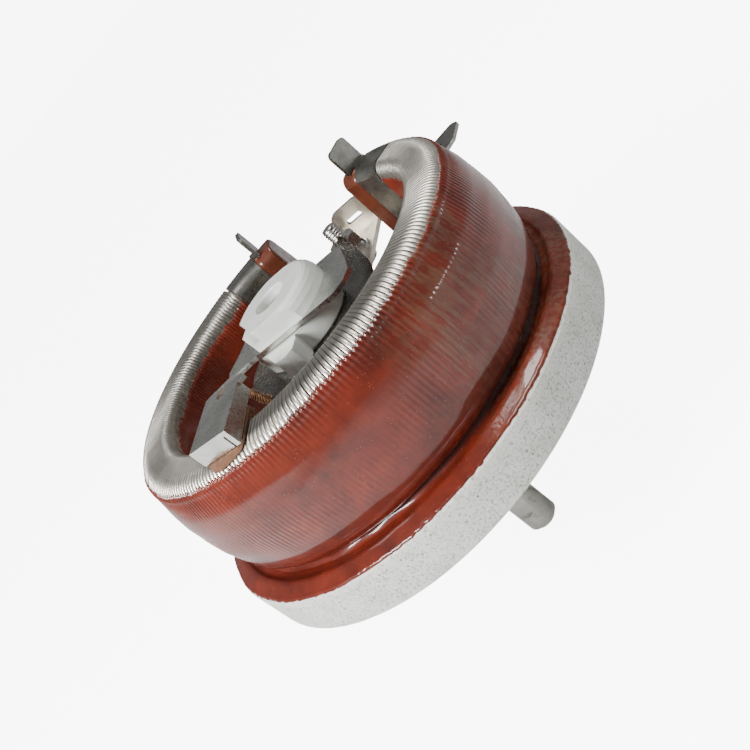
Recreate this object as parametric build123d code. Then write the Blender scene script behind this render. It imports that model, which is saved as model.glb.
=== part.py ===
from build123d import *
import math
import os

# Open-frame ceramic disc rheostat for panel mounting, about 150 W.
# Frame: millimetres, +Z along the shaft from the panel face towards the hub.  The origin is the
# centre of the ceramic base's panel face.  +Y points through the open gap between the two ends of
# the winding core, and the contact arm rests near -Y, in the middle of the winding.

# ---- driving dimensions ----
BASE_R = 51.0            # rim radius of the ceramic base
RIM_TOP = 10.5           # height of the rim's straight wall
CREST_R, CREST_Z = 47.4, 12.2    # raised edge on top of the rim
SEAT_Z = 11.4            # ring seat under the core
GLAZE_T = 0.4            # enamel that runs out over the top of the base
FLOOR_Z = 9.0            # floor between the core and the central boss
BOSS_R = 16.0

SHAFT_R = 4.0
SHAFT_END, SHAFT_TOP = -41.3, 41.9
FLAT_DEPTH = 0.75        # flat for the knob screw
RUN_GAP = 0.05           # radial running clearance of the shaft in its bushing

BUSHING_R = 6.0          # M12 thread
BUSHING_BOTTOM, BUSHING_TOP = -12.0, 18.0
FLANGE_AF, FLANGE_BOTTOM, FLANGE_TOP = 17.0, 2.0, 5.0

WIRE = 1.0               # wire diameter, so the winding is this thick
COAT = 0.4               # vitreous enamel over the wire
BAND_T = 0.9             # sheet thickness of the end bands
BARE_Z = 41.0            # above this height the wire is ground bare as the contact track

# All of these are degrees either side of +Y, the middle of the open gap.
CORE_GAP = 21.0          # ends of the ceramic core
ENAMEL_GAP = 20.5        # outside of the enamel over those ends
BAND_NEAR, BAND_FAR = 28.2, 41.6
WINDING_GAP = 42.0
FIN_GAP = 25.6           # upright fins, the stops of the contact arm
LUG_GAP = 35.0           # solder lugs

PLATE_T = 1.0            # sheet thickness of the contact arm
ARM_TOP = [(12.0, 39.4), (-9.0, 39.4), (-26.0, 45.4), (-46.0, 46.5)]   # upper face, (y, z)
SKIRT_BOTTOM = 42.6      # lower edge of the brush box
BOX_W = 10.1
BOX_FRONT = (-1.3, -43.6)    # middle of the box's front edge
BOX_TURN = 9.4           # the box is skewed this much from the Y direction
TRACK_GAP = 0.3          # the brush clears the track this much, standing for sliding contact
PAD_W, PAD_L, PAD_BOTTOM, PAD_TOP = 11.2, 12.2, 41.1, 42.5

HUB_BOTTOM, HUB_SHOULDER, HUB_STEP, HUB_TOP = 33.0, 38.4, 41.3, 43.9
HUB_R = 11.2             # round body below the arm
HUB_FLAT = 8.7           # half distance across the flats that drive the arm
KEY_FLAT, KEY_TURN = 9.9, 218.5  # third flat, which lets the arm sit only one way round

DISC_T, DISC_R = 0.8, 17.5   # bowed spring disc
RING_T, RING_TOP = 1.2, 25.6
RING_R, RING_BORE = 17.0, 9.6
STRIP_W, STRIP_END = 12.0, 50.0
TAB_TOP = 32.5
STUD_Y, STUD_R, STUD_TOP = 36.5, 2.0, 35.0
SHANK_R = 1.7            # thread root inside the nut and washers
SHOE_R, SHOE_BOTTOM = 13.3, 25.9

os.makedirs("parts", exist_ok=True)


def node(name, *solids):
    """Write one node as parts/name.step."""
    shape = solids[0] if len(solids) == 1 else Compound(children=list(solids))
    shape.label = name
    export_step(shape, f"parts/{name}.step")


def upright(face):
    """Stand a face drawn as (radius, height) up in the XZ plane."""
    return Rot(90, 0, 0) * face


def lathe(*points):
    """Full turn about Z of a polygon drawn as (radius, height)."""
    return revolve(upright(Polygon(*points, align=None)), Axis.Z)


def around(face, gap):
    """Turn a (radius, height) face about Z, leaving gap degrees open either side of +Y."""
    return Rot(0, 0, 90 + gap) * revolve(upright(face), Axis.Z, 360 - 2 * gap)


def piece_of_turn(face, near, far):
    """Turn a (radius, height) face from near to far, degrees from +Y towards -X."""
    return Rot(0, 0, 90 + near) * revolve(upright(face), Axis.Z, far - near)


def rod(radius, bottom, top):
    return Pos(0, 0, bottom) * extrude(Circle(radius), top - bottom)


def tube(radius, bore, bottom, top):
    return rod(radius, bottom, top) - rod(bore, bottom - 1, top + 1)


def hexagon(across_flats, bottom, top):
    return Pos(0, 0, bottom) * extrude(RegularPolygon(across_flats / math.sqrt(3), 6), top - bottom)


def slab(outline, bottom, top):
    """Extrude a plan face between two heights."""
    return Pos(0, 0, bottom) * extrude(outline, top - bottom)


def window(left, right, bottom, top):
    return Polygon((left, bottom), (right, bottom), (right, top), (left, top), align=None)


# ---- section of the core: a barrel with a bulging outer wall and a flat top ----
INNER_R, CORE_BOTTOM, CORE_TOP = 36.4, 13.6, 41.0
floor_line = Line((38.2, CORE_BOTTOM), (42.2, CORE_BOTTOM))
outer_foot = ThreePointArc((42.2, CORE_BOTTOM), (43.9, 14.3), (44.6, 16.0))
belly = Polyline((44.6, 16.0), (45.3, 18.6), (45.85, 21.8), (46.1, 25.5), (46.0, 29.5), (45.5, 33.7), (44.5, 38.2))
outer_crown = ThreePointArc((44.5, 38.2), (43.7, 40.2), (42.0, CORE_TOP))
top_line = Line((42.0, CORE_TOP), (38.1, CORE_TOP))
inner_crown = ThreePointArc((38.1, CORE_TOP), (36.9, 40.5), (INNER_R, 39.2))
inner_line = Line((INNER_R, 39.2), (INNER_R, 15.4))
inner_foot = ThreePointArc((INNER_R, 15.4), (36.9, 14.1), (38.2, CORE_BOTTOM))
core_face = make_face(
    [*floor_line.edges(), *outer_foot.edges(), *belly.edges(), *outer_crown.edges(),
     *top_line.edges(), *inner_crown.edges(), *inner_line.edges(), *inner_foot.edges()]
)
wire_face = offset(core_face, WIRE, kind=Kind.INTERSECTION)
band_face = offset(core_face, BAND_T, kind=Kind.INTERSECTION)
coat_face = offset(core_face, WIRE + COAT, kind=Kind.INTERSECTION)

core = around(core_face, CORE_GAP)
node("winding_core", core)

winding = around(wire_face - core_face, WINDING_GAP)
node("resistance_winding", winding)

# The enamel covers the turns below the bare track, closes both ends of the core and runs down in a
# foot that bonds everything to the base.
open_coat = (coat_face & window(30, 50, 0, BARE_Z)) - wire_face
foot_face = window(38.4, 43.6, SEAT_Z, CORE_BOTTOM - BAND_T)
apron = [(50.4, RIM_TOP + 0.25), (CREST_R + 0.7, CREST_Z - 0.15), (CREST_R, CREST_Z),
         (CREST_R - 0.8, CREST_Z - 0.2), (45.7, SEAT_Z), (36.4, SEAT_Z)]
apron_under = [(r, z - GLAZE_T) for r, z in reversed(apron)]
enamel = around(open_coat, WINDING_GAP) + around(foot_face, ENAMEL_GAP) + lathe(*apron, *apron_under)
end_coat = piece_of_turn(band_face, ENAMEL_GAP, BAND_NEAR) - piece_of_turn(core_face, CORE_GAP, 30)
enamel = enamel + end_coat + mirror(end_coat, Plane.YZ) - winding
node("enamel_coat", enamel)

# ---- end bands: sheet wrapped round the core, with a solder lug and an upright fin ----
band = piece_of_turn(band_face - core_face, BAND_NEAR, BAND_FAR)
lug_outline = Polygon((44.0, -4.8), (54.6, -4.8), (60.8, -1.3), (60.8, 1.3), (54.6, 4.8), (44.0, 4.8),
                      align=None)
lug_hole = Pos(52.6, 0) * Circle(1.5)
lug_outline = fillet(lug_outline.vertices().filter_by_position(Axis.X, 60, 62), 1.2)
lug = slab(lug_outline - lug_hole, 29.0, 29.9)
band = band + (Rot(0, 0, 90 + LUG_GAP) * lug - core)
band_top = CORE_TOP + BAND_T - 0.05
fin = Pos(39.8, 0, (CORE_TOP + BAND_T + 48.3) / 2) * Box(6.5, 1.0, 48.3 - CORE_TOP - BAND_T)
fin = fillet(fin.edges().filter_by(Axis.Y).group_by(Axis.Z)[-1], 1.2)
fin_foot = piece_of_turn(window(38.3, 42.0, band_top, band_top + 0.6), FIN_GAP - 0.7, BAND_NEAR + 0.5)
band = band + Rot(0, 0, 90 + FIN_GAP) * fin + fin_foot - enamel
node("end_band_left", band)
node("end_band_right", mirror(band, Plane.YZ))

# ---- ceramic base ----
base = lathe(
    (0, 0), (BASE_R - 0.6, 0), (BASE_R, 0.6), (BASE_R, RIM_TOP - 0.5), (BASE_R - 0.3, RIM_TOP),
    *apron_under[::-1], (35.6, SEAT_Z - GLAZE_T), (33.4, FLOOR_Z), (BOSS_R + 2, FLOOR_Z),
    (BOSS_R, FLOOR_Z + 2), (BOSS_R, RING_TOP - RING_T), (RING_BORE, RING_TOP - RING_T),
    (RING_BORE, BUSHING_TOP + 0.6), (0, BUSHING_TOP + 0.6),
)
base -= rod(BUSHING_R + 0.05, -1, 30)
base -= hexagon(FLANGE_AF + 0.3, -1, FLANGE_TOP)
RIVET_AT = [(15.3, 0), (-15.3, 0)]
for x, y in RIVET_AT:
    base -= Pos(x, y, 0) * rod(0.8, 16.0, 30)
node("ceramic_base", base)

# ---- centre terminal: collector ring with a strip out through the gap, and its screw ----
RING_BOTTOM = RING_TOP - RING_T
ring = slab(Circle(RING_R) + Pos(0, 33) * Rectangle(STRIP_W, 34), RING_BOTTOM, RING_TOP)
ring -= rod(RING_BORE, 20, 30)
tab = Pos(0, 0, 0) * (RectangleRounded(11.0, 10.0, 2.6) - Pos(0, 0.9) * SlotOverall(5.0, 1.3))
tab = Pos(0, STRIP_END, TAB_TOP - 5.0) * Rot(90, 0, 0) * extrude(tab, RING_T)
tab = tab & Pos(0, STRIP_END, (RING_BOTTOM + 40) / 2) * Box(20, 5, 40 - RING_BOTTOM)
ring = ring + tab
ring -= Pos(0, STUD_Y, 0) * rod(STUD_R + 0.15, 20, 30)
for x, y in RIVET_AT:
    ring -= Pos(x, y, 0) * rod(0.8, 20, 30)
node("collector_ring", ring)

rivets = []
for x, y in RIVET_AT:
    rivet = lathe((0, 17), (0.8, 17), (0.8, RING_TOP), (1.5, RING_TOP), (1.3, RING_TOP + 0.5), (0, RING_TOP + 0.7))
    rivets.append(Pos(x, y, 0) * rivet)
node("collector_rivets", *rivets)

WASHER_TOP = RING_TOP + 0.8
LOCK_TOP = WASHER_TOP + 1.0
NUT_TOP = LOCK_TOP + 3.2
screw = lathe(
    (0, RING_BOTTOM - 2.6), (2.9, RING_BOTTOM - 2.6), (3.8, RING_BOTTOM - 1.6), (3.8, RING_BOTTOM),
    (SHANK_R, RING_BOTTOM), (SHANK_R, NUT_TOP + 0.1), (STUD_R, NUT_TOP + 0.1),
    (STUD_R, STUD_TOP - 0.5), (STUD_R - 0.5, STUD_TOP), (0, STUD_TOP),
)
screw -= Pos(0, 0, RING_BOTTOM - 2.6) * Box(8, 1.0, 2.0)
node("terminal_screw", Pos(0, STUD_Y, 0) * screw)
node("terminal_washer", Pos(0, STUD_Y, 0) * tube(4.5, STUD_R + 0.15, RING_TOP, WASHER_TOP))
lock = tube(3.8, STUD_R + 0.15, WASHER_TOP, LOCK_TOP) - Pos(3, 0, LOCK_TOP) * Rot(35, 0, 0) * Box(5, 0.7, 5)
node("terminal_lock_washer", Pos(0, STUD_Y, 0) * lock)
nut = hexagon(7.0, LOCK_TOP, NUT_TOP) & lathe(
    (0, LOCK_TOP), (3.6, LOCK_TOP), (4.2, LOCK_TOP + 0.4), (4.2, NUT_TOP - 0.4), (3.6, NUT_TOP), (0, NUT_TOP)
)
node("terminal_nut", Pos(0, STUD_Y, 0) * (nut - rod(SHANK_R, LOCK_TOP - 1, NUT_TOP + 1)))

# ---- bushing, put in from the panel side ----
THREAD_TOP = 0.6
bushing = hexagon(FLANGE_AF, FLANGE_BOTTOM, FLANGE_TOP) + lathe(
    (0, BUSHING_BOTTOM), (BUSHING_R - 0.5, BUSHING_BOTTOM), (BUSHING_R, BUSHING_BOTTOM + 0.5),
    (BUSHING_R, THREAD_TOP), (BUSHING_R - 0.5, THREAD_TOP), (BUSHING_R - 0.5, FLANGE_BOTTOM + 1),
    (BUSHING_R, FLANGE_BOTTOM + 1), (BUSHING_R, BUSHING_TOP), (0, BUSHING_TOP),
)
bushing -= rod(SHAFT_R + RUN_GAP, BUSHING_BOTTOM - 1, BUSHING_TOP + 1)
node("bushing", bushing)


# ---- shaft with the knob flat, and the ring that keeps it from pulling through ----
KEEPER_TOP = BUSHING_BOTTOM - 0.3
shaft = lathe(
    (0, SHAFT_END), (SHAFT_R - 1.0, SHAFT_END), (SHAFT_R, SHAFT_END + 1.0),
    (SHAFT_R, KEEPER_TOP - 0.9), (SHAFT_R - 0.5, KEEPER_TOP - 0.9), (SHAFT_R - 0.5, KEEPER_TOP), (SHAFT_R, KEEPER_TOP),
    (SHAFT_R, SHAFT_TOP - 0.4), (SHAFT_R - 0.4, SHAFT_TOP), (0, SHAFT_TOP),
)
FLAT_END, FLAT_START, CUTTER_R = SHAFT_END + 2.4, -19.0, 6.0
flat_cut = Pos(0, FLAT_DEPTH - SHAFT_R - CUTTER_R, (FLAT_END + FLAT_START) / 2) * Rot(0, 90, 0) * extrude(
    SlotOverall(FLAT_START - FLAT_END, 2 * CUTTER_R), 10, both=True
)
shaft = Rot(0, 0, -22.5) * shaft - flat_cut     # the turning's seam is kept clear of the flat
PIN_R, PIN_HALF, PIN_Z = 1.25, 7.5, HUB_BOTTOM + 1.25
pin = Pos(0, 0, PIN_Z) * Rot(0, 90, 0) * extrude(Circle(PIN_R), PIN_HALF, both=True)
node("drive_pin", pin)
node("shaft", shaft - pin)
keeper = tube(5.6, SHAFT_R - 0.5, KEEPER_TOP - 0.9, KEEPER_TOP)
keeper -= Pos(0, -4, KEEPER_TOP) * Box(5.0, 6.0, 4)
node("retaining_ring", keeper)

# ---- ceramic hub: round body with a flat-sided nose below the arm, flatted boss above it ----
nose = Polygon((KEY_FLAT, -1.0), (KEY_FLAT, 12.4), (8.2, 14.6), (5.6, 15.0), (3.6, 12.5), (2.0, 8.0), (2.0, -8.5),
               (KEY_FLAT, -8.5), align=None)
nose = fillet(nose.vertices().filter_by_position(Axis.Y, 12, 16), 1.0)
skirt = slab(Circle(HUB_R) + Rot(0, 0, KEY_TURN) * nose, HUB_BOTTOM, HUB_SHOULDER)
skirt = chamfer(skirt.edges().group_by(Axis.Z)[0], 0.5)
boss = lathe(
    (0, HUB_SHOULDER), (11.5, HUB_SHOULDER), (11.4, HUB_STEP), (11.0, HUB_TOP - 1.4), (10.4, HUB_TOP - 0.6),
    (9.7, HUB_TOP - 0.15), (9.0, HUB_TOP), (0, HUB_TOP),
)
boss = boss & Pos(0, 0, 40) * Box(30, 2 * HUB_FLAT, 20)
boss -= Rot(0, 0, KEY_TURN) * Pos(KEY_FLAT + 5, 0, 40) * Box(10, 30, 20)
boss -= Rot(0, 0, KEY_TURN) * Pos(KEY_FLAT + 3, 0, HUB_STEP + 5) * Box(10, 30, 10)
hub = skirt + boss
hub -= lathe((0, 30), (SHAFT_R, 30), (SHAFT_R, HUB_TOP - 0.4), (SHAFT_R + 0.6, 45), (0, 45))
hub -= pin + Pos(0, 0, PIN_Z - 2) * Box(2 * PIN_HALF, 2 * PIN_R, 4)
node("hub", hub)

# ---- contact arm: hub plate, rising neck and brush box, one piece of sheet ----
arm_plan = Polygon(
    (-13.2, 6.0), (-13.6, 2.3), (-14.4, -2.4), (-16.2, -7.2), (-15.4, -10.0), (-9.9, -24.4),
    (-8.9, -24.7), (-9.2, -26.3), (-6.5, -43.1), (3.9, -44.1), (1.2, -28.6), (2.4, -27.1),
    (-6.3, -18.1), (-7.4, -11.4), (-6.2, -10.1), (14.0, -10.0), (16.9, -8.6), (18.9, -6.8),
    (19.7, -3.5), (17.8, 1.8), (15.0, 8.4), (13.4, 10.0), (-10.5, 10.0), align=None,
)
hub_hole = Circle(11.6) & Rectangle(30, 2 * HUB_FLAT + 0.2)
arm_plan -= hub_hole - Rot(0, 0, KEY_TURN) * Pos(KEY_FLAT + 5.1, 0) * Rectangle(10, 30)
under = [(y, z - PLATE_T) for y, z in reversed(ARM_TOP)]
side_plane = Plane(origin=(0, 0, 0), x_dir=(0, 1, 0), z_dir=(1, 0, 0))
sheet = side_plane * extrude(Polygon(*ARM_TOP, *under, align=None), 30, both=True)
below_sheet = side_plane * extrude(Polygon(*ARM_TOP, (-46, 20), (12, 20), align=None), 30, both=True)
inside_box = side_plane * extrude(Polygon(*reversed(under), (-46, 20), (12, 20), align=None), 30, both=True)

place_box = Pos(BOX_FRONT[0], BOX_FRONT[1], 0) * Rot(0, 0, BOX_TURN)
HALF = BOX_W / 2
SLANT = 1.34             # the front edge runs square to the radius, so it is slanted across the box
wall = Polygon((-HALF, SLANT), (HALF, -SLANT), (HALF, 15.0), (-HALF, 16.8), align=None)
hollow = Polygon((1 - HALF, SLANT + 0.75), (HALF - 1, 0.75 - SLANT), (HALF - 1, 20), (1 - HALF, 20), align=None)
slit = Polygon((HALF - 1.5, -3), (HALF - 1.1, -3), (HALF - 1.1, 0.4), (HALF - 1.5, 0.4), align=None)
skirts = place_box * slab(wall - hollow - slit, SKIRT_BOTTOM, 50) & below_sheet

tear = Pos(-4.0, -28.3) * (Circle(1.3) + Polygon((-1.15, 0.6), (1.15, 0.6), (0, 2.7), align=None))
arm = (slab(arm_plan, 30, 50) & sheet) + skirts
arm -= slab(tear, 43.0, 50)
arm -= Pos(-3.3, -34.5, 48.1) * Sphere(2.4)
node("contact_arm", arm)

# The block fills the box; the wider pad under it follows the rounded top of the wound ring.
block_plan = Polygon((1.1 - HALF, SLANT + 1.0), (HALF - 1.1, 1.0 - SLANT), (HALF - 1.1, 11.0),
                     (1.1 - HALF, 11.0), align=None)
block = place_box * slab(block_plan, PAD_BOTTOM + 1.0, 50) & inside_box
pad_plan = Pos(0.6, PAD_L / 2 - 1.2) * RectangleRounded(PAD_W - 1.2, PAD_L, 2.5)
pad = place_box * slab(pad_plan, PAD_BOTTOM, PAD_TOP)
track_face = offset(core_face, WIRE + TRACK_GAP, kind=Kind.INTERSECTION)
brush = block + pad - around(track_face, 90)
node("contact_brush", brush)

# ---- bowed spring disc: flat under the hub, one side curled up towards the arm ----
CURL_AT, CURL_R, CURL_TO = 12.0, 8.0, 19.5     # where the curl starts, its radius and its reach
DISC_MID = HUB_BOTTOM - DISC_T / 2
flat_part = tube(DISC_R, RING_BORE, HUB_BOTTOM - DISC_T, HUB_BOTTOM)
flat_part &= Pos(CURL_AT - 20, 0, DISC_MID) * Box(40, 40, 2)
rise = CURL_TO - CURL_AT
curl_centre = (CURL_AT, DISC_MID + CURL_R)
outer_curl, inner_curl = CURL_R + DISC_T / 2, CURL_R - DISC_T / 2
curl_face = Pos(*curl_centre) * (Circle(outer_curl) - Circle(inner_curl))
curl_face &= window(CURL_AT, CURL_TO, 30, curl_centre[1])
curl = Plane.XZ * extrude(curl_face, 20, both=True)
curl &= rod(CURL_TO, 30, 42) & Pos(0, 0, 36) * Box(60, 32.0, 20)
spring = Rot(0, 0, 45) * (flat_part + curl)
node("spring_disc", spring)

shoe = tube(SHOE_R, RING_BORE + 0.2, SHOE_BOTTOM, HUB_BOTTOM - DISC_T)
node("collector_shoe", shoe)

# ---- flexible copper lead from the shoe up to the brush ----
PIGTAIL_R = 1.15
lead_path = FilletPolyline(
    (-7.6, -12.4, 28.6), (-9.0, -16.0, 33.5), (-7.4, -18.0, 38.6), (-4.4, -27.0, 43.2), (-3.8, -32.4, 43.5),
    radius=[4.0, 4.0, 6.0],
)
lead = sweep(Plane(origin=lead_path @ 0, z_dir=lead_path % 0) * Circle(PIGTAIL_R), path=lead_path)
lead = lead - shoe - brush - arm - spring
node("pigtail", lead)
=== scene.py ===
"""Looks for the open-frame ceramic disc rheostat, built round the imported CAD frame."""
import math

import bmesh
import bpy
import numpy as np
from mathutils import Matrix, Vector


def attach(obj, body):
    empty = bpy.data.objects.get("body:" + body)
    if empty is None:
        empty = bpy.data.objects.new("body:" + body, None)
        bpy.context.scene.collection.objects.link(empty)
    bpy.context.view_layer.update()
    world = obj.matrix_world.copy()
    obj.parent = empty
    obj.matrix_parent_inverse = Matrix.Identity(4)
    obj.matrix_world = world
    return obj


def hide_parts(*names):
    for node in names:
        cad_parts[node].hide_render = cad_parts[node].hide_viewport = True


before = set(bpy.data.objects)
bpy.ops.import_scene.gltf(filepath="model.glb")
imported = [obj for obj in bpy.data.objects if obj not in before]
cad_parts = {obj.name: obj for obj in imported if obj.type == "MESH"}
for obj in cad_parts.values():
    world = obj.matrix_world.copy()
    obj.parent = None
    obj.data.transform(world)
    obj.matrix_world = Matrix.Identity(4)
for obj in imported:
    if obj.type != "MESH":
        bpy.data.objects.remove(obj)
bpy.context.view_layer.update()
rng = np.random.default_rng(7)
MM = 0.001

# ---------------------------------------------------------------- shape of the wound ring (mm)
CORE_LOW, CORE_HIGH = 13.6, 41.0
INNER_R, INNER_FOOT, INNER_TOP = 36.4, 15.4, 39.2       # inner wall and the heights of its ends
LOW_IN, LOW_OUT = 38.2, 42.2                            # radii of the flat underside
TOP_IN, TOP_OUT = 38.1, 42.0                            # radii of the flat top
BELLY = [(44.6, 16.0), (45.3, 18.6), (45.85, 21.8), (46.1, 25.5), (46.0, 29.5),
         (45.5, 33.7), (44.5, 38.2)]                    # outer wall, radius and height
TURNS = 209
WOUND_FROM, WOUND_TO = 132.4, 407.6                     # degrees of azimuth
PITCH = (WOUND_TO - WOUND_FROM) / TURNS                 # degrees


def arc(start, through, end, count):
    """Points on the circle through three points, without the last one."""
    (ax, ay), (bx, by), (cx, cy) = start, through, end
    d = 2 * (ax * (by - cy) + bx * (cy - ay) + cx * (ay - by))
    aa, bb, cc = ax * ax + ay * ay, bx * bx + by * by, cx * cx + cy * cy
    ux = (aa * (by - cy) + bb * (cy - ay) + cc * (ay - by)) / d
    uy = (aa * (cx - bx) + bb * (ax - cx) + cc * (bx - ax)) / d
    first = math.atan2(ay - uy, ax - ux)
    last = math.atan2(cy - uy, cx - ux)
    while last - first > math.pi:
        last -= 2 * math.pi
    while first - last > math.pi:
        last += 2 * math.pi
    radius = math.hypot(ax - ux, ay - uy)
    angles = np.linspace(first, last, count, endpoint=False)
    return np.stack([ux + radius * np.cos(angles), uy + radius * np.sin(angles)], 1)


def straight(start, end, count):
    """Points on a straight line, without the last one."""
    t = np.linspace(0, 1, count, endpoint=False)[:, None]
    return np.array(start) * (1 - t) + np.array(end) * t


def core_loop():
    """The core's section as points and outward normals, from the inner wall's foot over the bottom,
    up the outer wall, over the top and down the inner wall."""
    loop = np.concatenate([
        arc((INNER_R, INNER_FOOT), (36.9, 14.1), (LOW_IN, CORE_LOW), 5),
        straight((LOW_IN, CORE_LOW), (LOW_OUT, CORE_LOW), 4),
        arc((LOW_OUT, CORE_LOW), (43.9, 14.3), BELLY[0], 8),
        *[straight(a, b, 7) for a, b in zip(BELLY[:-1], BELLY[1:])],
        arc(BELLY[-1], (43.7, 40.2), (TOP_OUT, CORE_HIGH), 12),
        straight((TOP_OUT, CORE_HIGH), (TOP_IN, CORE_HIGH), 8),
        arc((TOP_IN, CORE_HIGH), (36.9, 40.5), (INNER_R, INNER_TOP), 9),
        straight((INNER_R, INNER_TOP), (INNER_R, INNER_FOOT), 30),
    ])
    tangent = np.roll(loop, -1, 0) - np.roll(loop, 1, 0)
    tangent /= np.linalg.norm(tangent, axis=1)[:, None]
    normal = np.stack([tangent[:, 1], -tangent[:, 0]], 1)
    return loop, normal


def distance_along(points):
    """Distance from the first point to each point of a path."""
    return np.concatenate([[0], np.cumsum(np.linalg.norm(np.diff(points, axis=0), axis=1))])


LOOP, NORMAL = core_loop()
LOOP_R, LOOP_Z = LOOP[:, :1], LOOP[:, 1:]
ALONG = distance_along(LOOP)


def offset_ring(out):
    """Radius and height of the core's section pushed out along its normals."""
    return LOOP_R + NORMAL[:, :1] * out, LOOP_Z + NORMAL[:, 1:] * out


# ---------------------------------------------------------------- mesh helpers
def new_mesh(name, points, faces, body, smooth=True):
    """Object from points in mm and faces, riding on a CAD body."""
    mesh = bpy.data.meshes.new(name)
    mesh.from_pydata((np.asarray(points, float) * MM).tolist(), [], faces)
    mesh.validate()
    solid = bmesh.new()
    solid.from_mesh(mesh)
    bmesh.ops.recalc_face_normals(solid, faces=solid.faces)
    solid.to_mesh(mesh)
    solid.free()
    mesh.shade_smooth() if smooth else mesh.shade_flat()
    obj = bpy.data.objects.new(name, mesh)
    bpy.context.scene.collection.objects.link(obj)
    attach(obj, body)
    return obj


def grid_faces(rows, columns, close_rows=False, close_columns=False, base=0):
    """Quads of a grid stored row by row."""
    i = np.arange(rows if close_rows else rows - 1)
    j = np.arange(columns if close_columns else columns - 1)
    i, j = np.meshgrid(i, j, indexing="ij")
    i2, j2 = (i + 1) % rows, (j + 1) % columns
    quads = np.stack([i * columns + j, i2 * columns + j, i2 * columns + j2, i * columns + j2], -1)
    return (quads.reshape(-1, 4) + base).tolist()


def edge_columns(rows, columns):
    """The two faces that close a grid at its first and last column."""
    return [[i * columns for i in range(rows)], [i * columns + columns - 1 for i in range(rows)][::-1]]


def turned(r, z, degrees):
    """Point at radius r, height z and azimuth in degrees."""
    a = np.radians(degrees)
    return np.stack([r * np.cos(a), r * np.sin(a), z + 0 * a], -1)


def smooth_noise(values, scale, seed, octaves=3):
    """Smooth one-dimensional noise, mostly between -1 and 1: summed sines of fixed random phase."""
    sines, gain, full_turn = 3, 1.6, 6.28
    r = np.random.default_rng(seed)
    total = np.zeros_like(values, float)
    weight = 0
    for k in range(octaves):
        for _ in range(sines):
            f = scale * 2 ** k * r.uniform(0.7, 1.4)
            total += np.sin(values * f + r.uniform(0, full_turn)) / 2 ** k
            weight += 1 / 2 ** k
    return total / weight * gain


# ---------------------------------------------------------------- materials
# Object coordinates are in metres; these factors bring 50 mm and 20 mm to a ramp's 0 to 1.
OVER_50_MM, OVER_20_MM = 20.0, 50.0
# The khaki marks wires showing through the enamel, with a painted reflection on the +X side.
BUBBLE, DARK_SPECK, KHAKI_WIRES_AND_PAINTED_REFLECTION = (0.36, 0.20, 0.09), (0.03, 0.012, 0.008), (0.15, 0.11, 0.065)
PIT, PALE_CRUST, GLAZE_SPOT = (0.22, 0.22, 0.18), (0.80, 0.77, 0.70), (0.35, 0.33, 0.28)


def material(name):
    m = bpy.data.materials.new(name)
    m.use_nodes = True
    tree = m.node_tree
    return m, tree, tree.nodes["Principled BSDF"]


def link(tree, a, b):
    tree.links.new(a, b)


def object_coord(tree):
    return tree.nodes.new("ShaderNodeTexCoord").outputs["Object"]


def split_coord(tree):
    """The object coordinates as X, Y and Z outputs."""
    n = tree.nodes.new("ShaderNodeSeparateXYZ")
    link(tree, object_coord(tree), n.inputs["Vector"])
    return n.outputs


def stretched_coord(tree, scale):
    """Object coordinates scaled axis by axis; a small scale draws a texture out along its axis."""
    n = tree.nodes.new("ShaderNodeMapping")
    n.inputs["Scale"].default_value = scale
    link(tree, object_coord(tree), n.inputs["Vector"])
    return n.outputs["Vector"]


def scaled(tree, value, factor):
    n = tree.nodes.new("ShaderNodeMath")
    n.operation = "MULTIPLY"
    n.inputs[1].default_value = factor
    link(tree, value, n.inputs[0])
    return n.outputs["Value"]


def noise_tex(tree, scale, detail=4.0, rough=0.55, distortion=0.0, vector=None):
    n = tree.nodes.new("ShaderNodeTexNoise")
    n.inputs["Scale"].default_value = scale
    n.inputs["Detail"].default_value = detail
    n.inputs["Roughness"].default_value = rough
    n.inputs["Distortion"].default_value = distortion
    link(tree, object_coord(tree) if vector is None else vector, n.inputs["Vector"])
    return n.outputs["Fac"]


def voronoi_tex(tree, scale):
    n = tree.nodes.new("ShaderNodeTexVoronoi")
    n.inputs["Scale"].default_value = scale
    link(tree, object_coord(tree), n.inputs["Vector"])
    return n.outputs["Distance"]


def ramp(tree, value, *stops):
    """Colour ramp; stops are (position, (r, g, b)) or (position, grey)."""
    n = tree.nodes.new("ShaderNodeValToRGB")
    elements = n.color_ramp.elements
    while len(elements) < len(stops):
        elements.new(0.5)
    for e, (position, colour) in zip(elements, stops):
        e.position = position
        c = (colour,) * 3 if isinstance(colour, (int, float)) else colour
        e.color = (*c, 1.0)
    link(tree, value, n.inputs["Fac"])
    return n.outputs["Color"]


def mix(tree, factor, a, b, mode="MIX"):
    n = tree.nodes.new("ShaderNodeMix")
    n.data_type = "RGBA"
    n.blend_type = mode
    for socket, value in ((n.inputs["Factor"], factor), (n.inputs["A"], a), (n.inputs["B"], b)):
        if isinstance(value, (int, float)):
            socket.default_value = value if socket.type == "VALUE" else (value,) * 3 + (1,)
        elif isinstance(value, tuple):
            socket.default_value = (*value, 1.0)
        else:
            link(tree, value, socket)
    return n.outputs["Result"]


def times(tree, a, b):
    return mix(tree, 1.0, a, b, "MULTIPLY")


def bump(tree, shader, height, strength, distance, normal=None):
    n = tree.nodes.new("ShaderNodeBump")
    n.inputs["Strength"].default_value = strength
    n.inputs["Distance"].default_value = distance
    link(tree, height, n.inputs["Height"])
    if normal is not None:
        link(tree, normal, n.inputs["Normal"])
    link(tree, n.outputs["Normal"], shader.inputs["Normal"])
    return n.outputs["Normal"]


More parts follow.
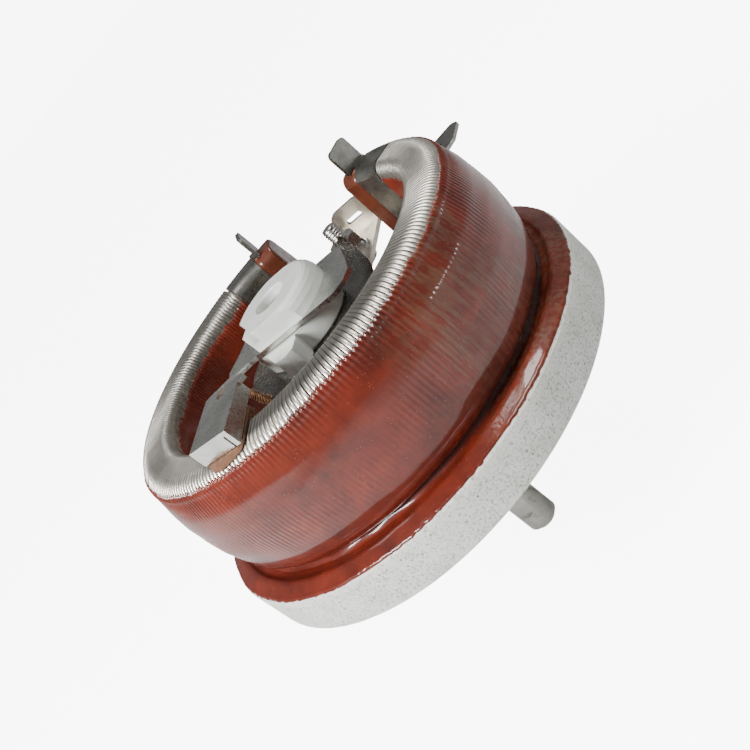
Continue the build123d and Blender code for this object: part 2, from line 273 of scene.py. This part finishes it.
def metal(name, dark, light, rough, scratch, stretch, grime=0.35, bump_mm=0.02):
    """Worn metal: uneven tone, a little grime and fine scratches, finer along the stretched axes."""
    m, tree, s = material(name)
    fine = noise_tex(tree, scratch, 5, 0.6, vector=stretched_coord(tree, stretch))
    tone = ramp(tree, noise_tex(tree, 140, 4, 0.6), (0.3, dark), (0.7, light))
    specks = ramp(tree, noise_tex(tree, 700, 3, 0.7), (0.30, 1.0 - grime), (0.42, 1.0))
    link(tree, times(tree, tone, specks), s.inputs["Base Color"])
    s.inputs["Metallic"].default_value = 1.0
    link(tree, ramp(tree, fine, (0.3, rough[0]), (0.7, rough[1])), s.inputs["Roughness"])
    bump(tree, s, fine, 0.35, bump_mm * MM)
    return m


def enamel_material(name, low, high, wire_streaks_and_painted_reflection=False):
    """Glossy red-brown vitreous enamel: cloudy colour, tiny bubbles and dark specks, orange-peel gloss.
    The streaked one has thin khaki streaks down its +X side: wires showing through, plus painted
    reflection."""
    m, tree, s = material(name)
    middle = tuple((a + b) / 2 for a, b in zip(low, high))
    base = ramp(tree, noise_tex(tree, 90, 6, 0.62, 0.4), (0.28, low), (0.52, middle), (0.74, high))
    bubbles = ramp(tree, voronoi_tex(tree, 1700), (0.0, 1.0), (0.06, 1.0), (0.14, 0.0))
    some = ramp(tree, noise_tex(tree, 520, 2, 0.5), (0.54, 0.0), (0.60, 1.0))
    bubbles = times(tree, bubbles, some)
    base = mix(tree, bubbles, base, BUBBLE)
    dark = ramp(tree, voronoi_tex(tree, 1500), (0.0, 1.0), (0.10, 1.0), (0.20, 0.0))
    some = ramp(tree, noise_tex(tree, 400, 2, 0.5), (0.46, 0.0), (0.56, 0.8))
    base = mix(tree, times(tree, dark, some), base, DARK_SPECK)
    if wire_streaks_and_painted_reflection:
        # Painted reflection: the khaki is kept to the +X side, which faces the dim surroundings; the
        # streaks follow the wires.
        side = ramp(tree, scaled(tree, split_coord(tree)["X"], OVER_50_MM), (0.56, 0.0), (0.78, 1.0))
        patches = ramp(tree, noise_tex(tree, 45, 4, 0.6, 0.4), (0.46, 0.0), (0.62, 0.42))
        drawn_down = stretched_coord(tree, (1, 1, 0.08))
        streaks = ramp(tree, noise_tex(tree, 900, 2, 0.6, vector=drawn_down), (0.44, 0.1), (0.54, 1.0))
        base = mix(tree, times(tree, times(tree, patches, streaks), side), base, KHAKI_WIRES_AND_PAINTED_REFLECTION)
    link(tree, base, s.inputs["Base Color"])
    s.inputs["Roughness"].default_value = 0.42
    s.inputs["Specular IOR Level"].default_value = 0.20
    s.inputs["Coat Weight"].default_value = 0.75
    s.inputs["Coat Roughness"].default_value = 0.05
    peel = bump(tree, s, noise_tex(tree, 420, 3, 0.5), 0.25, 0.08 * MM)
    bump(tree, s, bubbles, 0.6, 0.05 * MM, peel)
    link(tree, peel, s.inputs["Coat Normal"])
    return m


def base_ceramic():
    """White, slightly grey-green speckled ceramic with pinholes; a pale crust from 8.4 mm up."""
    m, tree, s = material("base_ceramic")
    tone = ramp(tree, noise_tex(tree, 120, 5, 0.6), (0.3, (0.60, 0.62, 0.56)), (0.7, (0.78, 0.79, 0.75)))
    grain = ramp(tree, noise_tex(tree, 1900, 5, 0.75), (0.36, (0.34, 0.35, 0.31)), (0.50, (1, 1, 1)))
    tone = mix(tree, 0.9, tone, times(tree, tone, grain))
    pits = ramp(tree, voronoi_tex(tree, 1000), (0.0, 0.0), (0.14, 0.0), (0.24, 1.0))
    some = ramp(tree, noise_tex(tree, 300, 2, 0.5), (0.48, 1.0), (0.60, 0.0))
    pits = mix(tree, 1.0, pits, some, "SCREEN")
    tone = mix(tree, pits, PIT, tone)
    height = scaled(tree, split_coord(tree)["Z"], OVER_20_MM)
    crust = ramp(tree, height, (0.42, 0.0), (0.47, 0.75), (0.52, 0.85))
    patchy = ramp(tree, noise_tex(tree, 500, 4, 0.6), (0.40, 0.2), (0.60, 1.0))
    tone = mix(tree, times(tree, crust, patchy), tone, PALE_CRUST)
    link(tree, tone, s.inputs["Base Color"])
    s.inputs["Roughness"].default_value = 0.72
    s.inputs["Specular IOR Level"].default_value = 0.35
    pitted = bump(tree, s, pits, 0.8, 0.18 * MM)
    bump(tree, s, noise_tex(tree, 1100, 4, 0.7), 0.7, 0.10 * MM, pitted)
    return m


def glazed_white():
    """Smooth greenish-white glaze of the hub, with a few dark spots."""
    m, tree, s = material("hub_glaze")
    tone = ramp(tree, noise_tex(tree, 150, 4, 0.5), (0.3, (0.66, 0.70, 0.65)), (0.7, (0.82, 0.84, 0.80)))
    spots = ramp(tree, voronoi_tex(tree, 420), (0.0, 0.0), (0.05, 0.0), (0.09, 1.0))
    some = ramp(tree, noise_tex(tree, 180, 2, 0.5), (0.40, 0.0), (0.46, 1.0))
    tone = mix(tree, mix(tree, 1.0, spots, some, "SCREEN"), GLAZE_SPOT, tone)
    link(tree, tone, s.inputs["Base Color"])
    s.inputs["Roughness"].default_value = 0.22
    s.inputs["Coat Weight"].default_value = 0.7
    s.inputs["Coat Roughness"].default_value = 0.08
    s.inputs["Subsurface Weight"].default_value = 0.25
    s.inputs["Subsurface Radius"].default_value = (0.9, 0.9, 0.8)
    s.inputs["Subsurface Scale"].default_value = 0.8 * MM
    bump(tree, s, noise_tex(tree, 260, 3, 0.5), 0.25, 0.10 * MM)
    return m


def rubbed_wire():
    """Bright wire, greyer over the inner part of the track where the brush has rubbed it."""
    m = metal("resistance_wire", (0.66, 0.62, 0.55), (0.90, 0.86, 0.78), (0.34, 0.46), 900,
              (1, 1, 1), 0.15, 0.003)
    tree = m.node_tree
    s = tree.nodes["Principled BSDF"]
    old = s.inputs["Base Color"].links[0].from_socket
    axes = split_coord(tree)
    flat = tree.nodes.new("ShaderNodeCombineXYZ")
    link(tree, axes["X"], flat.inputs["X"])
    link(tree, axes["Y"], flat.inputs["Y"])
    radius = tree.nodes.new("ShaderNodeVectorMath")
    radius.operation = "LENGTH"
    link(tree, flat.outputs["Vector"], radius.inputs[0])
    wear = ramp(tree, scaled(tree, radius.outputs["Value"], OVER_50_MM),
                (0.70, 0.62), (0.83, 0.50), (0.875, 1.0))
    link(tree, times(tree, old, wear), s.inputs["Base Color"])
    return m


# name, dark and light tone, roughness range, scratch scale, its stretch, grime, scratch depth in mm
STEEL = metal("plated_steel", (0.50, 0.50, 0.47), (0.74, 0.74, 0.70), (0.24, 0.38), 900,
              (1, 6, 1), 0.10, 0.006)
BAND_STEEL = metal("band_steel", (0.20, 0.20, 0.18), (0.46, 0.45, 0.41), (0.24, 0.42), 800,
                   (6, 6, 1), 0.2)
WIRE_METAL = rubbed_wire()
SHAFT_STEEL = metal("shaft_steel", (0.30, 0.29, 0.27), (0.48, 0.47, 0.44), (0.24, 0.40), 1500,
                    (1, 1, 16))
ZINC = metal("fastener_zinc", (0.52, 0.52, 0.50), (0.74, 0.74, 0.71), (0.22, 0.36), 1200,
             (1, 1, 1))
COLLECTOR = metal("collector_metal", (0.46, 0.42, 0.35), (0.72, 0.68, 0.60), (0.28, 0.48), 500,
                  (1, 8, 1))
BRASS = metal("bushing_brass", (0.50, 0.40, 0.20), (0.72, 0.60, 0.34), (0.24, 0.40), 1200,
              (1, 1, 10))
BRONZE = metal("spring_bronze", (0.16, 0.155, 0.14), (0.34, 0.33, 0.30), (0.20, 0.32), 500,
               (1, 1, 4), 0.15, 0.008)
BRUSH = metal("brush_carbon", (0.13, 0.065, 0.040), (0.30, 0.16, 0.10), (0.38, 0.55), 900,
              (1, 1, 1), 0.4, 0.02)
COPPER = metal("copper_braid", (0.66, 0.32, 0.18), (0.95, 0.62, 0.42), (0.16, 0.28), 1800,
               (1, 1, 1), 0.4, 0.02)
CERAMIC = base_ceramic()
GLAZE = glazed_white()
ENAMEL = enamel_material("vitreous_enamel", (0.060, 0.0085, 0.0045), (0.20, 0.024, 0.010), True)
ENAMEL_DARK = enamel_material("enamel_ends", (0.05, 0.012, 0.006), (0.16, 0.040, 0.018))

NODE_LOOKS = {
    "ceramic_base": CERAMIC, "winding_core": CERAMIC, "resistance_winding": WIRE_METAL,
    "enamel_coat": ENAMEL, "end_band_left": BAND_STEEL, "end_band_right": BAND_STEEL,
    "collector_ring": COLLECTOR, "collector_rivets": ZINC, "terminal_screw": ZINC,
    "terminal_washer": ZINC, "terminal_lock_washer": ZINC, "terminal_nut": ZINC,
    "bushing": BRASS, "shaft": SHAFT_STEEL, "drive_pin": SHAFT_STEEL,
    "retaining_ring": SHAFT_STEEL, "hub": GLAZE, "contact_arm": STEEL, "contact_brush": BRUSH,
    "spring_disc": BRONZE, "collector_shoe": BRASS, "pigtail": COPPER,
}
for node, look in NODE_LOOKS.items():
    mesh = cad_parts[node].data
    mesh.materials.clear()
    mesh.materials.append(look)


# ---------------------------------------------------------------- the turns of wire
# Section of one wire: across the turn in pitches, and out from the core in mm.
WIRE_SIDE = np.array([-0.33, 0.0, 0.33, 0.395, 0.42, 0.34, 0.0, -0.34, -0.42, -0.395])
WIRE_OUT = np.array([0.92, 0.935, 0.92, 0.84, 0.50, 0.14, 0.03, 0.14, 0.50, 0.84])
# Unevenness from turn to turn: place in degrees, lean in degrees per mm, height in mm, width.
PLACE_JITTER, LEAN_JITTER, HEIGHT_JITTER, WIDTH_RANGE = 0.016, 0.008, 0.006, (0.98, 1.02)
LEAN_PIVOT_R = 40
# Inside this radius a wire takes up more degrees, by this share for each mm, over this many mm.
WIDEN_INSIDE_R, WIDEN_PER_MM, WIDEN_OVER = 43.0, 0.02, 6


def wire_turns():
    """Each turn as a closed loop round the core, of a wire with a flattened outer face."""
    around, count = len(WIRE_SIDE), len(LOOP)
    points, faces = [], []
    widen = 1.0 + WIDEN_PER_MM * np.clip(WIDEN_INSIDE_R - LOOP_R, 0, WIDEN_OVER)
    for k in range(TURNS):
        azimuth = WOUND_FROM + (k + 0.5) * PITCH + rng.normal(0, PLACE_JITTER)
        lean = rng.normal(0, LEAN_JITTER)
        out = np.repeat((WIRE_OUT + rng.normal(0, HEIGHT_JITTER))[None, :], count, 0)
        side = WIRE_SIDE[None, :] * PITCH * widen * rng.uniform(*WIDTH_RANGE)
        r, z = offset_ring(out)
        turn = azimuth + side + lean * (LOOP_R - LEAN_PIVOT_R)
        faces += grid_faces(count, around, True, True, base=k * count * around)
        points.append(turned(r, z, turn).reshape(-1, 3))
    return np.concatenate(points), faces


points, faces = wire_turns()
wires = new_mesh("resistance_turns", points, faces, "stator")
wires.data.materials.append(WIRE_METAL)
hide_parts("resistance_winding")


# ---------------------------------------------------------------- the enamel over the turns
SKIN_MM, BARE_MM = 1.20, 0.12           # out from the core: covered, and between bare wires
SKIN_LIMITS = (0.1, 1.39)               # mm out from the core
PER_TURN = 8                            # columns of the skin to each turn
EDGE_OUT_Z, EDGE_IN_Z = 40.3, 39.4      # heights of the enamel's edges on the outer and inner side
THINS_OVER = 1.1                        # mm of the section over which an edge thins out
TRACK_SIDE = 5.0                        # mm beside an edge where the ridges stand out most


def enamel_edges(azimuth, valley):
    """Where the two ragged edges lie along the section at each azimuth, and the middle of the track."""
    a = np.radians(azimuth)
    outer = ALONG[np.argmin(np.abs(LOOP[:, 1] - EDGE_OUT_Z) + 10 * (LOOP[:, 0] < TOP_OUT))]
    inner = ALONG[np.argmin(np.abs(LOOP[:, 1] - EDGE_IN_Z) + 10 * (LOOP[:, 0] > 37.5))]
    jag = np.repeat(np.random.default_rng(3).normal(0, 0.06, TURNS + 1), PER_TURN)[:len(azimuth)]
    edge_out = (outer + 0.25 * smooth_noise(a, 9, 11, 3) + 0.12 * smooth_noise(a, 60, 12, 2)
                + jag + 0.1 - 0.25 * valley)
    edge_in = inner + 0.45 * smooth_noise(a, 8, 13, 4) + 0.3 * smooth_noise(a, 55, 14, 2) - jag + 0.2
    return edge_out, edge_in, (outer + inner) / 2


def enamel_over_turns():
    """Closed skin round the wound ring.  It lies over the wires on both walls, thins out in a ragged
    line near the top and sinks between the wires where the track is bare."""
    count, columns = len(LOOP), TURNS * PER_TURN + 1
    azimuth = np.linspace(WOUND_FROM - 0.2, WOUND_TO + 0.2, columns)
    a = np.radians(azimuth)
    valley = 0.5 + 0.5 * np.cos((azimuth - WOUND_FROM) / PITCH * 2 * math.pi)   # 1 between two wires
    edge_out, edge_in, mid_track = enamel_edges(azimuth, valley)
    s, height = ALONG[:, None], LOOP_Z
    depth = np.where(s < mid_track, edge_out[None, :] - s, s - edge_in[None, :])
    cover = np.clip(depth / THINS_OVER, 0, 1)
    cover = cover * cover * (3 - 2 * cover)
    near_track = np.clip(1 - depth / TRACK_SIDE, 0, 1)
    bands = np.sin(height * 0.35 + 2.0 * smooth_noise(a, 3, 23, 2)[None, :])
    patch = np.clip(0.45 + 0.6 * smooth_noise(a, 4, 21, 3)[None, :] + 0.35 * bands, 0.1, 1.0)
    ridge = 0.045 * patch * np.clip((height - 17) / 7, 0, 1) + 0.085 * near_track
    ridge = np.clip(ridge, 0, 0.12)
    pool = np.clip(1 - (height - 13.0) / 12.0, 0, 1)            # thicker towards the foot
    wave = (0.035 * smooth_noise(a, 7, 31, 3)[None, :]
            + 0.045 * np.sin(height * 0.75 + 4 * smooth_noise(a, 2.5, 33, 2)[None, :]))
    wave = wave * (1 - 0.6 * near_track) + 0.05 * pool * smooth_noise(a, 16, 35, 2)[None, :]
    skin = SKIN_MM + 0.06 * pool - ridge * valley[None, :] * 2 + wave
    out = np.clip(BARE_MM * (1 - cover) + skin * cover, *SKIN_LIMITS)
    r, z = offset_ring(out)
    grid = turned(r, z, azimuth[None, :] + 0 * r)
    return grid.reshape(-1, 3), grid_faces(count, columns, True, False) + edge_columns(count, columns)


points, faces = enamel_over_turns()
enamel = new_mesh("enamel_skin", points, faces, "stator")
enamel.data.materials.append(ENAMEL)
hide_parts("enamel_coat")


def closed_lathe(profile, azimuth, wobble=None):
    """Points of a closed section (radius, height) turned round the axis, with the grid's rows and
    columns; wobble(r, z, azimuth) moves the points."""
    rows, columns = len(profile), len(azimuth)
    r = np.repeat(profile[:, 0][:, None], columns, 1)
    z = np.repeat(profile[:, 1][:, None], columns, 1)
    if wobble is not None:
        r, z = wobble(r, z, azimuth[None, :])
    grid = turned(r, z, azimuth[None, :] + 0 * r)
    return grid.reshape(-1, 3), rows, columns


def enamel_apron():
    """Enamel run out over the base: seat under the ring, crest and a ragged outer edge."""
    top = np.concatenate([
        straight((36.3, 11.3), (40.0, 11.45), 4), straight((40.0, 11.45), (44.9, 11.5), 8),
        arc((44.9, 11.5), (46.0, 11.62), (46.7, 12.05), 6),
        arc((46.7, 12.05), (47.4, 12.2), (48.2, 12.0), 7),
        straight((48.2, 12.0), (50.2, 11.02), 8),
        arc((50.2, 11.02), (50.7, 10.75), (50.93, 10.2), 6),
    ])
    under = np.concatenate([
        straight((50.4, 10.0), (47.4, 11.55), 5), straight((47.4, 11.55), (45.7, 10.9), 4),
        straight((45.7, 10.9), (36.4, 10.9), 6),
    ])
    profile = np.concatenate([top, under])
    azimuth = np.linspace(0, 360, 1441)[:-1]
    edge_from, edge_over, pull_in, lift = 49.3, 1.6, 0.45, 0.22         # the ragged edge, mm

    def wobble(r, z, az):
        a = np.radians(az)
        is_top = np.arange(len(r))[:, None] < len(top)
        ragged = 0.45 + 0.40 * smooth_noise(a, 14, 41, 4) + 0.30 * smooth_noise(a, 95, 42, 3)
        ragged = np.clip(ragged, 0, 1)
        edge = np.clip((r - edge_from) / edge_over, 0, 1) * is_top
        r = r - edge * ragged * pull_in
        z = z + edge * ragged * lift
        swell = 0.05 * np.sin(a * 9 + 2 * np.sin(a * 4))
        swell = swell + 0.035 * np.sin(a * 31 + r * 1.3) * np.sin(a * 17)
        z = z + is_top * swell * np.clip((r - 36.5) / 2, 0, 1) * np.clip((50.6 - r) / 2, 0, 1)
        return r, z

    points, rows, columns = closed_lathe(profile, azimuth, wobble)
    return points, grid_faces(rows, columns, True, True)


points, faces = enamel_apron()
apron = new_mesh("enamel_apron", points, faces, "stator")
apron.data.materials.append(ENAMEL)
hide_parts("enamel_coat")


def enamel_foot():
    """The neck that bonds the ring to the base, with a rounded hollow outside."""
    hollow, low, high = 12, 11.3, 14.2      # points of the hollow, and the heights it swells between
    profile = np.concatenate([
        arc((43.9, high), (43.5, 12.5), (44.9, 11.35), hollow),
        straight((44.9, 11.35), (37.6, 11.35), 6),
        straight((37.6, 11.35), (38.2, 13.0), 4), straight((38.2, 13.0), (38.6, high), 3),
        straight((38.6, high), (43.9, high), 5),
    ])
    azimuth = np.linspace(110.6, 429.4, 900)

    def wobble(r, z, az):
        a = np.radians(az)
        swell = 0.18 * np.sin(a * 11 + 2 * np.sin(a * 3)) + 0.12 * np.sin(a * 29 + z)
        swell = swell * (np.arange(len(r))[:, None] < hollow)
        return r + swell * np.clip((z - low) / 0.8, 0, 1) * np.clip((high - z) / 1.0, 0, 1), z

    points, rows, columns = closed_lathe(profile, azimuth, wobble)
    return points, grid_faces(rows, columns, True, False) + edge_columns(rows, columns)


points, faces = enamel_foot()
foot = new_mesh("enamel_foot", points, faces, "stator")
foot.data.materials.append(ENAMEL)
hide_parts("enamel_coat")


# Rings of the end cap: share of the way in to the mid-line, or mm out from the core, and azimuth.
CAP_FACE = ((0.985, 110.60), (0.66, 110.58), (0.33, 110.55), (0.02, 110.52))
CAP_SLEEVE = ((0.55, 110.58), (0.80, 110.9), (0.86, 111.6), (0.86, 114.0), (0.84, 116.5),
              (0.80, 118.15), (0.3, 118.3))
MID_LINE_R, MID_LINE_Z = 40.6, (17.5, 37.0)


def core_end(name, mirrored):
    """Brown enamelled end of the core, a cap that runs back under the end band."""
    middle = np.stack([np.full(len(LOOP), MID_LINE_R), np.clip(LOOP[:, 1], *MID_LINE_Z)], 1)
    rows = len(LOOP)
    rings = []
    for share, azimuth in CAP_FACE:
        inward = LOOP + (middle - LOOP) * share
        rings.append(turned(inward[:, 0], inward[:, 1], azimuth))
    for out, azimuth in CAP_SLEEVE:
        ring = LOOP + NORMAL * out
        rings.append(turned(ring[:, 0], ring[:, 1], azimuth))
    grid = np.stack(rings, 1)
    wave = 0.10 * np.sin(grid[..., 2] * 0.6 + grid[..., 0] * 0.4) + 0.05 * np.sin(grid[..., 2] * 1.9)
    wave = wave * (np.arange(grid.shape[1]) < len(CAP_FACE))[None, :]
    grid[..., 0] -= 0.6 * wave - 0.09
    columns = grid.shape[1]
    points = grid.reshape(-1, 3)
    faces = grid_faces(rows, columns, True, False) + edge_columns(rows, columns)
    if mirrored:
        points = points * np.array([-1, 1, 1])
        faces = [f[::-1] for f in faces]
    cap = new_mesh(name, points, faces, "stator")
    cap.data.materials.append(ENAMEL_DARK)
    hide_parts("enamel_coat")


core_end("core_end_left", False)
core_end("core_end_right", True)


# ---------------------------------------------------------------- terminal screw and braid
SCREW_AT = (0, 36.5)                    # axis of the terminal screw, mm


def capped_tube(rows, around):
    """Side faces and the two end faces of a tube stored ring by ring."""
    ends = [list(range(around))[::-1], [(rows - 1) * around + i for i in range(around)]]
    return grid_faces(rows, around, False, True), ends


def screw_thread(name, centre, core_r, crest_r, bottom, top, pitch, body, look):
    """Threaded stud with its end faces; the thread tapers out at both ends."""
    around, rows_per_turn = 40, 6
    rows = int((top - bottom) / pitch * rows_per_turn)
    z = np.linspace(bottom, top, rows)[:, None]
    a = np.linspace(0, 2 * math.pi, around, endpoint=False)[None, :]
    phase = (z / pitch - a / (2 * math.pi)) % 1.0
    tooth = np.clip(1.25 - np.abs(phase - 0.5) * 4, 0, 1)
    fade = np.clip((top - z) / (1.2 * pitch), 0, 1) * np.clip((z - bottom) / pitch + 0.3, 0, 1)
    r = core_r + (crest_r - core_r) * tooth * fade
    grid = np.stack([centre[0] + r * np.cos(a), centre[1] + r * np.sin(a), z + 0 * r], -1)
    sides, ends = capped_tube(rows, around)
    faces = [f[::-1] for f in sides] + ends
    thread = new_mesh(name, grid.reshape(-1, 3), faces, body)
    thread.data.materials.append(look)
    return thread


def across(path):
    """Two unit directions square to a path, at each of its points."""
    tangent = np.gradient(path, axis=0)
    tangent /= np.linalg.norm(tangent, axis=1)[:, None]
    first = np.cross(tangent, [1.0, 0.2, 0.1])
    first /= np.linalg.norm(first, axis=1)[:, None]
    return first, np.cross(tangent, first)


def tube_along(path, radius, sides):
    """Points and faces of a round strand along a path, closed at both ends."""
    first, second = across(path)
    a = np.linspace(0, 2 * math.pi, sides, endpoint=False)[None, :, None]
    ring = (np.cos(a) * first[:, None, :] + np.sin(a) * second[:, None, :]) * radius
    faces, ends = capped_tube(len(path), sides)
    return (path[:, None, :] + ring).reshape(-1, 3), faces + ends


def smooth_path(knots, count):
    """Catmull-Rom curve through the knots."""
    k = np.array(knots, float)
    k = np.concatenate([[2 * k[0] - k[1]], k, [2 * k[-1] - k[-2]]])
    pieces = []
    for p0, p1, p2, p3 in zip(k[:-3], k[1:-2], k[2:-1], k[3:]):
        t = np.linspace(0, 1, count, endpoint=False)[:, None]
        square, cube = 2 * p0 - 5 * p1 + 4 * p2 - p3, 3 * p1 - p0 - 3 * p2 + p3
        pieces.append(0.5 * (2 * p1 + (p2 - p0) * t + square * t ** 2 + cube * t ** 3))
    return np.concatenate([*pieces, [k[-2]]])


def pigtail_strands():
    """Seven strands twisted round a straight one, from the collector shoe up over the arm's neck,
    frayed at the brush end."""
    outer, twist_length, strand_r, sides = 7, 6.5, 0.33, 7
    frayed = 3.0                        # mm at the brush end
    middle = smooth_path([(-7.8, -12.0, 29.5), (-9.0, -15.4, 33.5), (-8.0, -18.0, 37.6),
                          (-6.2, -22.5, 41.2), (-4.4, -27.4, 43.3), (-3.9, -32.0, 43.6)], 34)
    first, second = across(middle)
    step = distance_along(middle)
    spread = 0.66 + 0.30 * np.clip((step - step[-1] + frayed) / frayed, 0, 1)
    points, faces = [], []
    for k in range(outer + 1):
        turn = 2 * math.pi * (step / twist_length + k / outer)
        reach = spread if k else 0 * spread
        swing = np.cos(turn)[:, None] * first + np.sin(turn)[:, None] * second
        strand, strand_faces = tube_along(middle + swing * reach[:, None], strand_r, sides)
        base = k * len(strand)
        faces += [[i + base for i in face] for face in strand_faces]
        points.append(strand)
    return np.concatenate(points), faces


points, faces = pigtail_strands()
braid = new_mesh("pigtail_strands", points, faces, "rotor")
braid.data.materials.append(COPPER)
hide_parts("pigtail")

stud = screw_thread("terminal_stud", SCREW_AT, core_r=1.70, crest_r=1.985, bottom=24.2, top=34.95,
                    pitch=0.7, body="stator", look=ZINC)
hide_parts("terminal_screw")


def screw_head():
    """Plain round head of the terminal screw, under the collector ring's strip."""
    profile = np.array([(0.02, 21.8), (2.9, 21.8), (3.5, 22.1), (3.8, 22.8), (3.8, 24.38),
                        (0.02, 24.38)])
    points, rows, columns = closed_lathe(profile, np.linspace(0, 360, 49)[:-1])
    return points + np.array([*SCREW_AT, 0]), grid_faces(rows, columns, True, True)


points, faces = screw_head()
head = new_mesh("terminal_screw_head", points, faces, "stator", smooth=False)
head.data.materials.append(ZINC)
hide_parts("terminal_screw")


# ---------------------------------------------------------------- stage, light, camera
FLOOR_Z, FLOOR_HALF = -0.0425, 6.0      # metres
FLOOR_GLOW = 7.5                        # seen by the camera only, for a white ground
WORLD_LIGHT, WORLD_SEEN = 0.20, 8.0     # strength for the object, and for the camera


def stage():
    """White floor and world; both are bright for the camera and dim for the object."""
    mesh = bpy.data.meshes.new("floor")
    size, z = FLOOR_HALF, FLOOR_Z
    corners = [(-size, -size, z), (size, -size, z), (size, size, z), (-size, size, z)]
    mesh.from_pydata(corners, [], [(0, 1, 2, 3)])
    floor = bpy.data.objects.new("floor", mesh)
    bpy.context.scene.collection.objects.link(floor)
    m, tree, s = material("floor_paper")
    s.inputs["Base Color"].default_value = (0.80, 0.80, 0.80, 1)
    s.inputs["Roughness"].default_value = 0.9
    glow = tree.nodes.new("ShaderNodeEmission")
    glow.inputs["Strength"].default_value = FLOOR_GLOW
    add = tree.nodes.new("ShaderNodeAddShader")
    choose = tree.nodes.new("ShaderNodeMixShader")
    rays = tree.nodes.new("ShaderNodeLightPath")
    link(tree, s.outputs["BSDF"], add.inputs[0])
    link(tree, glow.outputs["Emission"], add.inputs[1])
    link(tree, rays.outputs["Is Camera Ray"], choose.inputs[0])
    link(tree, s.outputs["BSDF"], choose.inputs[1])
    link(tree, add.outputs["Shader"], choose.inputs[2])
    link(tree, choose.outputs["Shader"], tree.nodes["Material Output"].inputs["Surface"])
    mesh.materials.append(m)
    world = bpy.data.worlds.new("studio")
    bpy.context.scene.world = world
    world.use_nodes = True
    tree = world.node_tree
    rays = tree.nodes.new("ShaderNodeLightPath")
    level = tree.nodes.new("ShaderNodeMapRange")
    level.inputs["To Min"].default_value = WORLD_LIGHT
    level.inputs["To Max"].default_value = WORLD_SEEN
    link(tree, rays.outputs["Is Camera Ray"], level.inputs["Value"])
    tree.nodes["Background"].inputs["Color"].default_value = (1, 1, 1, 1)
    link(tree, level.outputs["Result"], tree.nodes["Background"].inputs["Strength"])


def softbox(name, place, aim, size, watts, colour=(1, 1, 1)):
    """Rectangular lamp at a place, turned to its aim; sizes in metres."""
    lamp = bpy.data.lights.new(name, "AREA")
    lamp.shape = "RECTANGLE"
    lamp.size, lamp.size_y = size
    lamp.energy = watts
    lamp.color = colour
    obj = bpy.data.objects.new(name, lamp)
    bpy.context.scene.collection.objects.link(obj)
    obj.location = Vector(place)
    obj.rotation_mode = "QUATERNION"
    obj.rotation_quaternion = (Vector(aim) - Vector(place)).to_track_quat("-Z", "Y")


CAMERA_PLACE = (0.121345, -0.171138, 0.102964)          # metres
LENS_MM, SENSOR_MM = 51.06, 36.0
AZIMUTH, ELEVATION, ROLL = math.radians(35), math.radians(22.75), math.radians(-51.43)
back = Vector((math.cos(ELEVATION) * math.sin(AZIMUTH), -math.cos(ELEVATION) * math.cos(AZIMUTH),
               math.sin(ELEVATION)))
level = Vector((math.cos(AZIMUTH), math.sin(AZIMUTH), 0))
upward = back.cross(level)
right = level * math.cos(ROLL) + upward * math.sin(ROLL)
up = -level * math.sin(ROLL) + upward * math.cos(ROLL)
camera_data = bpy.data.cameras.new("camera")
camera_data.lens, camera_data.sensor_width = LENS_MM, SENSOR_MM
camera_data.clip_start, camera_data.clip_end = 0.01, 50
camera = bpy.data.objects.new("camera", camera_data)
bpy.context.scene.collection.objects.link(camera)
turned_camera = Matrix((right, up, back)).transposed().to_4x4()
camera.matrix_world = Matrix.Translation(CAMERA_PLACE) @ turned_camera
bpy.context.scene.camera = camera

stage()
centre = Vector((0, 0, 0.02))           # the lamps' aim
softbox("key", centre - right * 0.42 - up * 0.16 + back * 0.34, centre, (0.24, 0.18), 6.6)
softbox("top", centre - right * 0.20 + up * 0.40 + back * 0.22, centre, (0.30, 0.10), 1.6)
softbox("rim", centre + right * 0.46 + up * 0.14 + back * 0.20, centre, (0.05, 0.30), 0.9,
        (0.96, 0.98, 1.0))
softbox("low", centre - up * 0.42 + back * 0.16 + right * 0.05, centre, (0.30, 0.06), 1.6,
        (1.0, 0.93, 0.97))
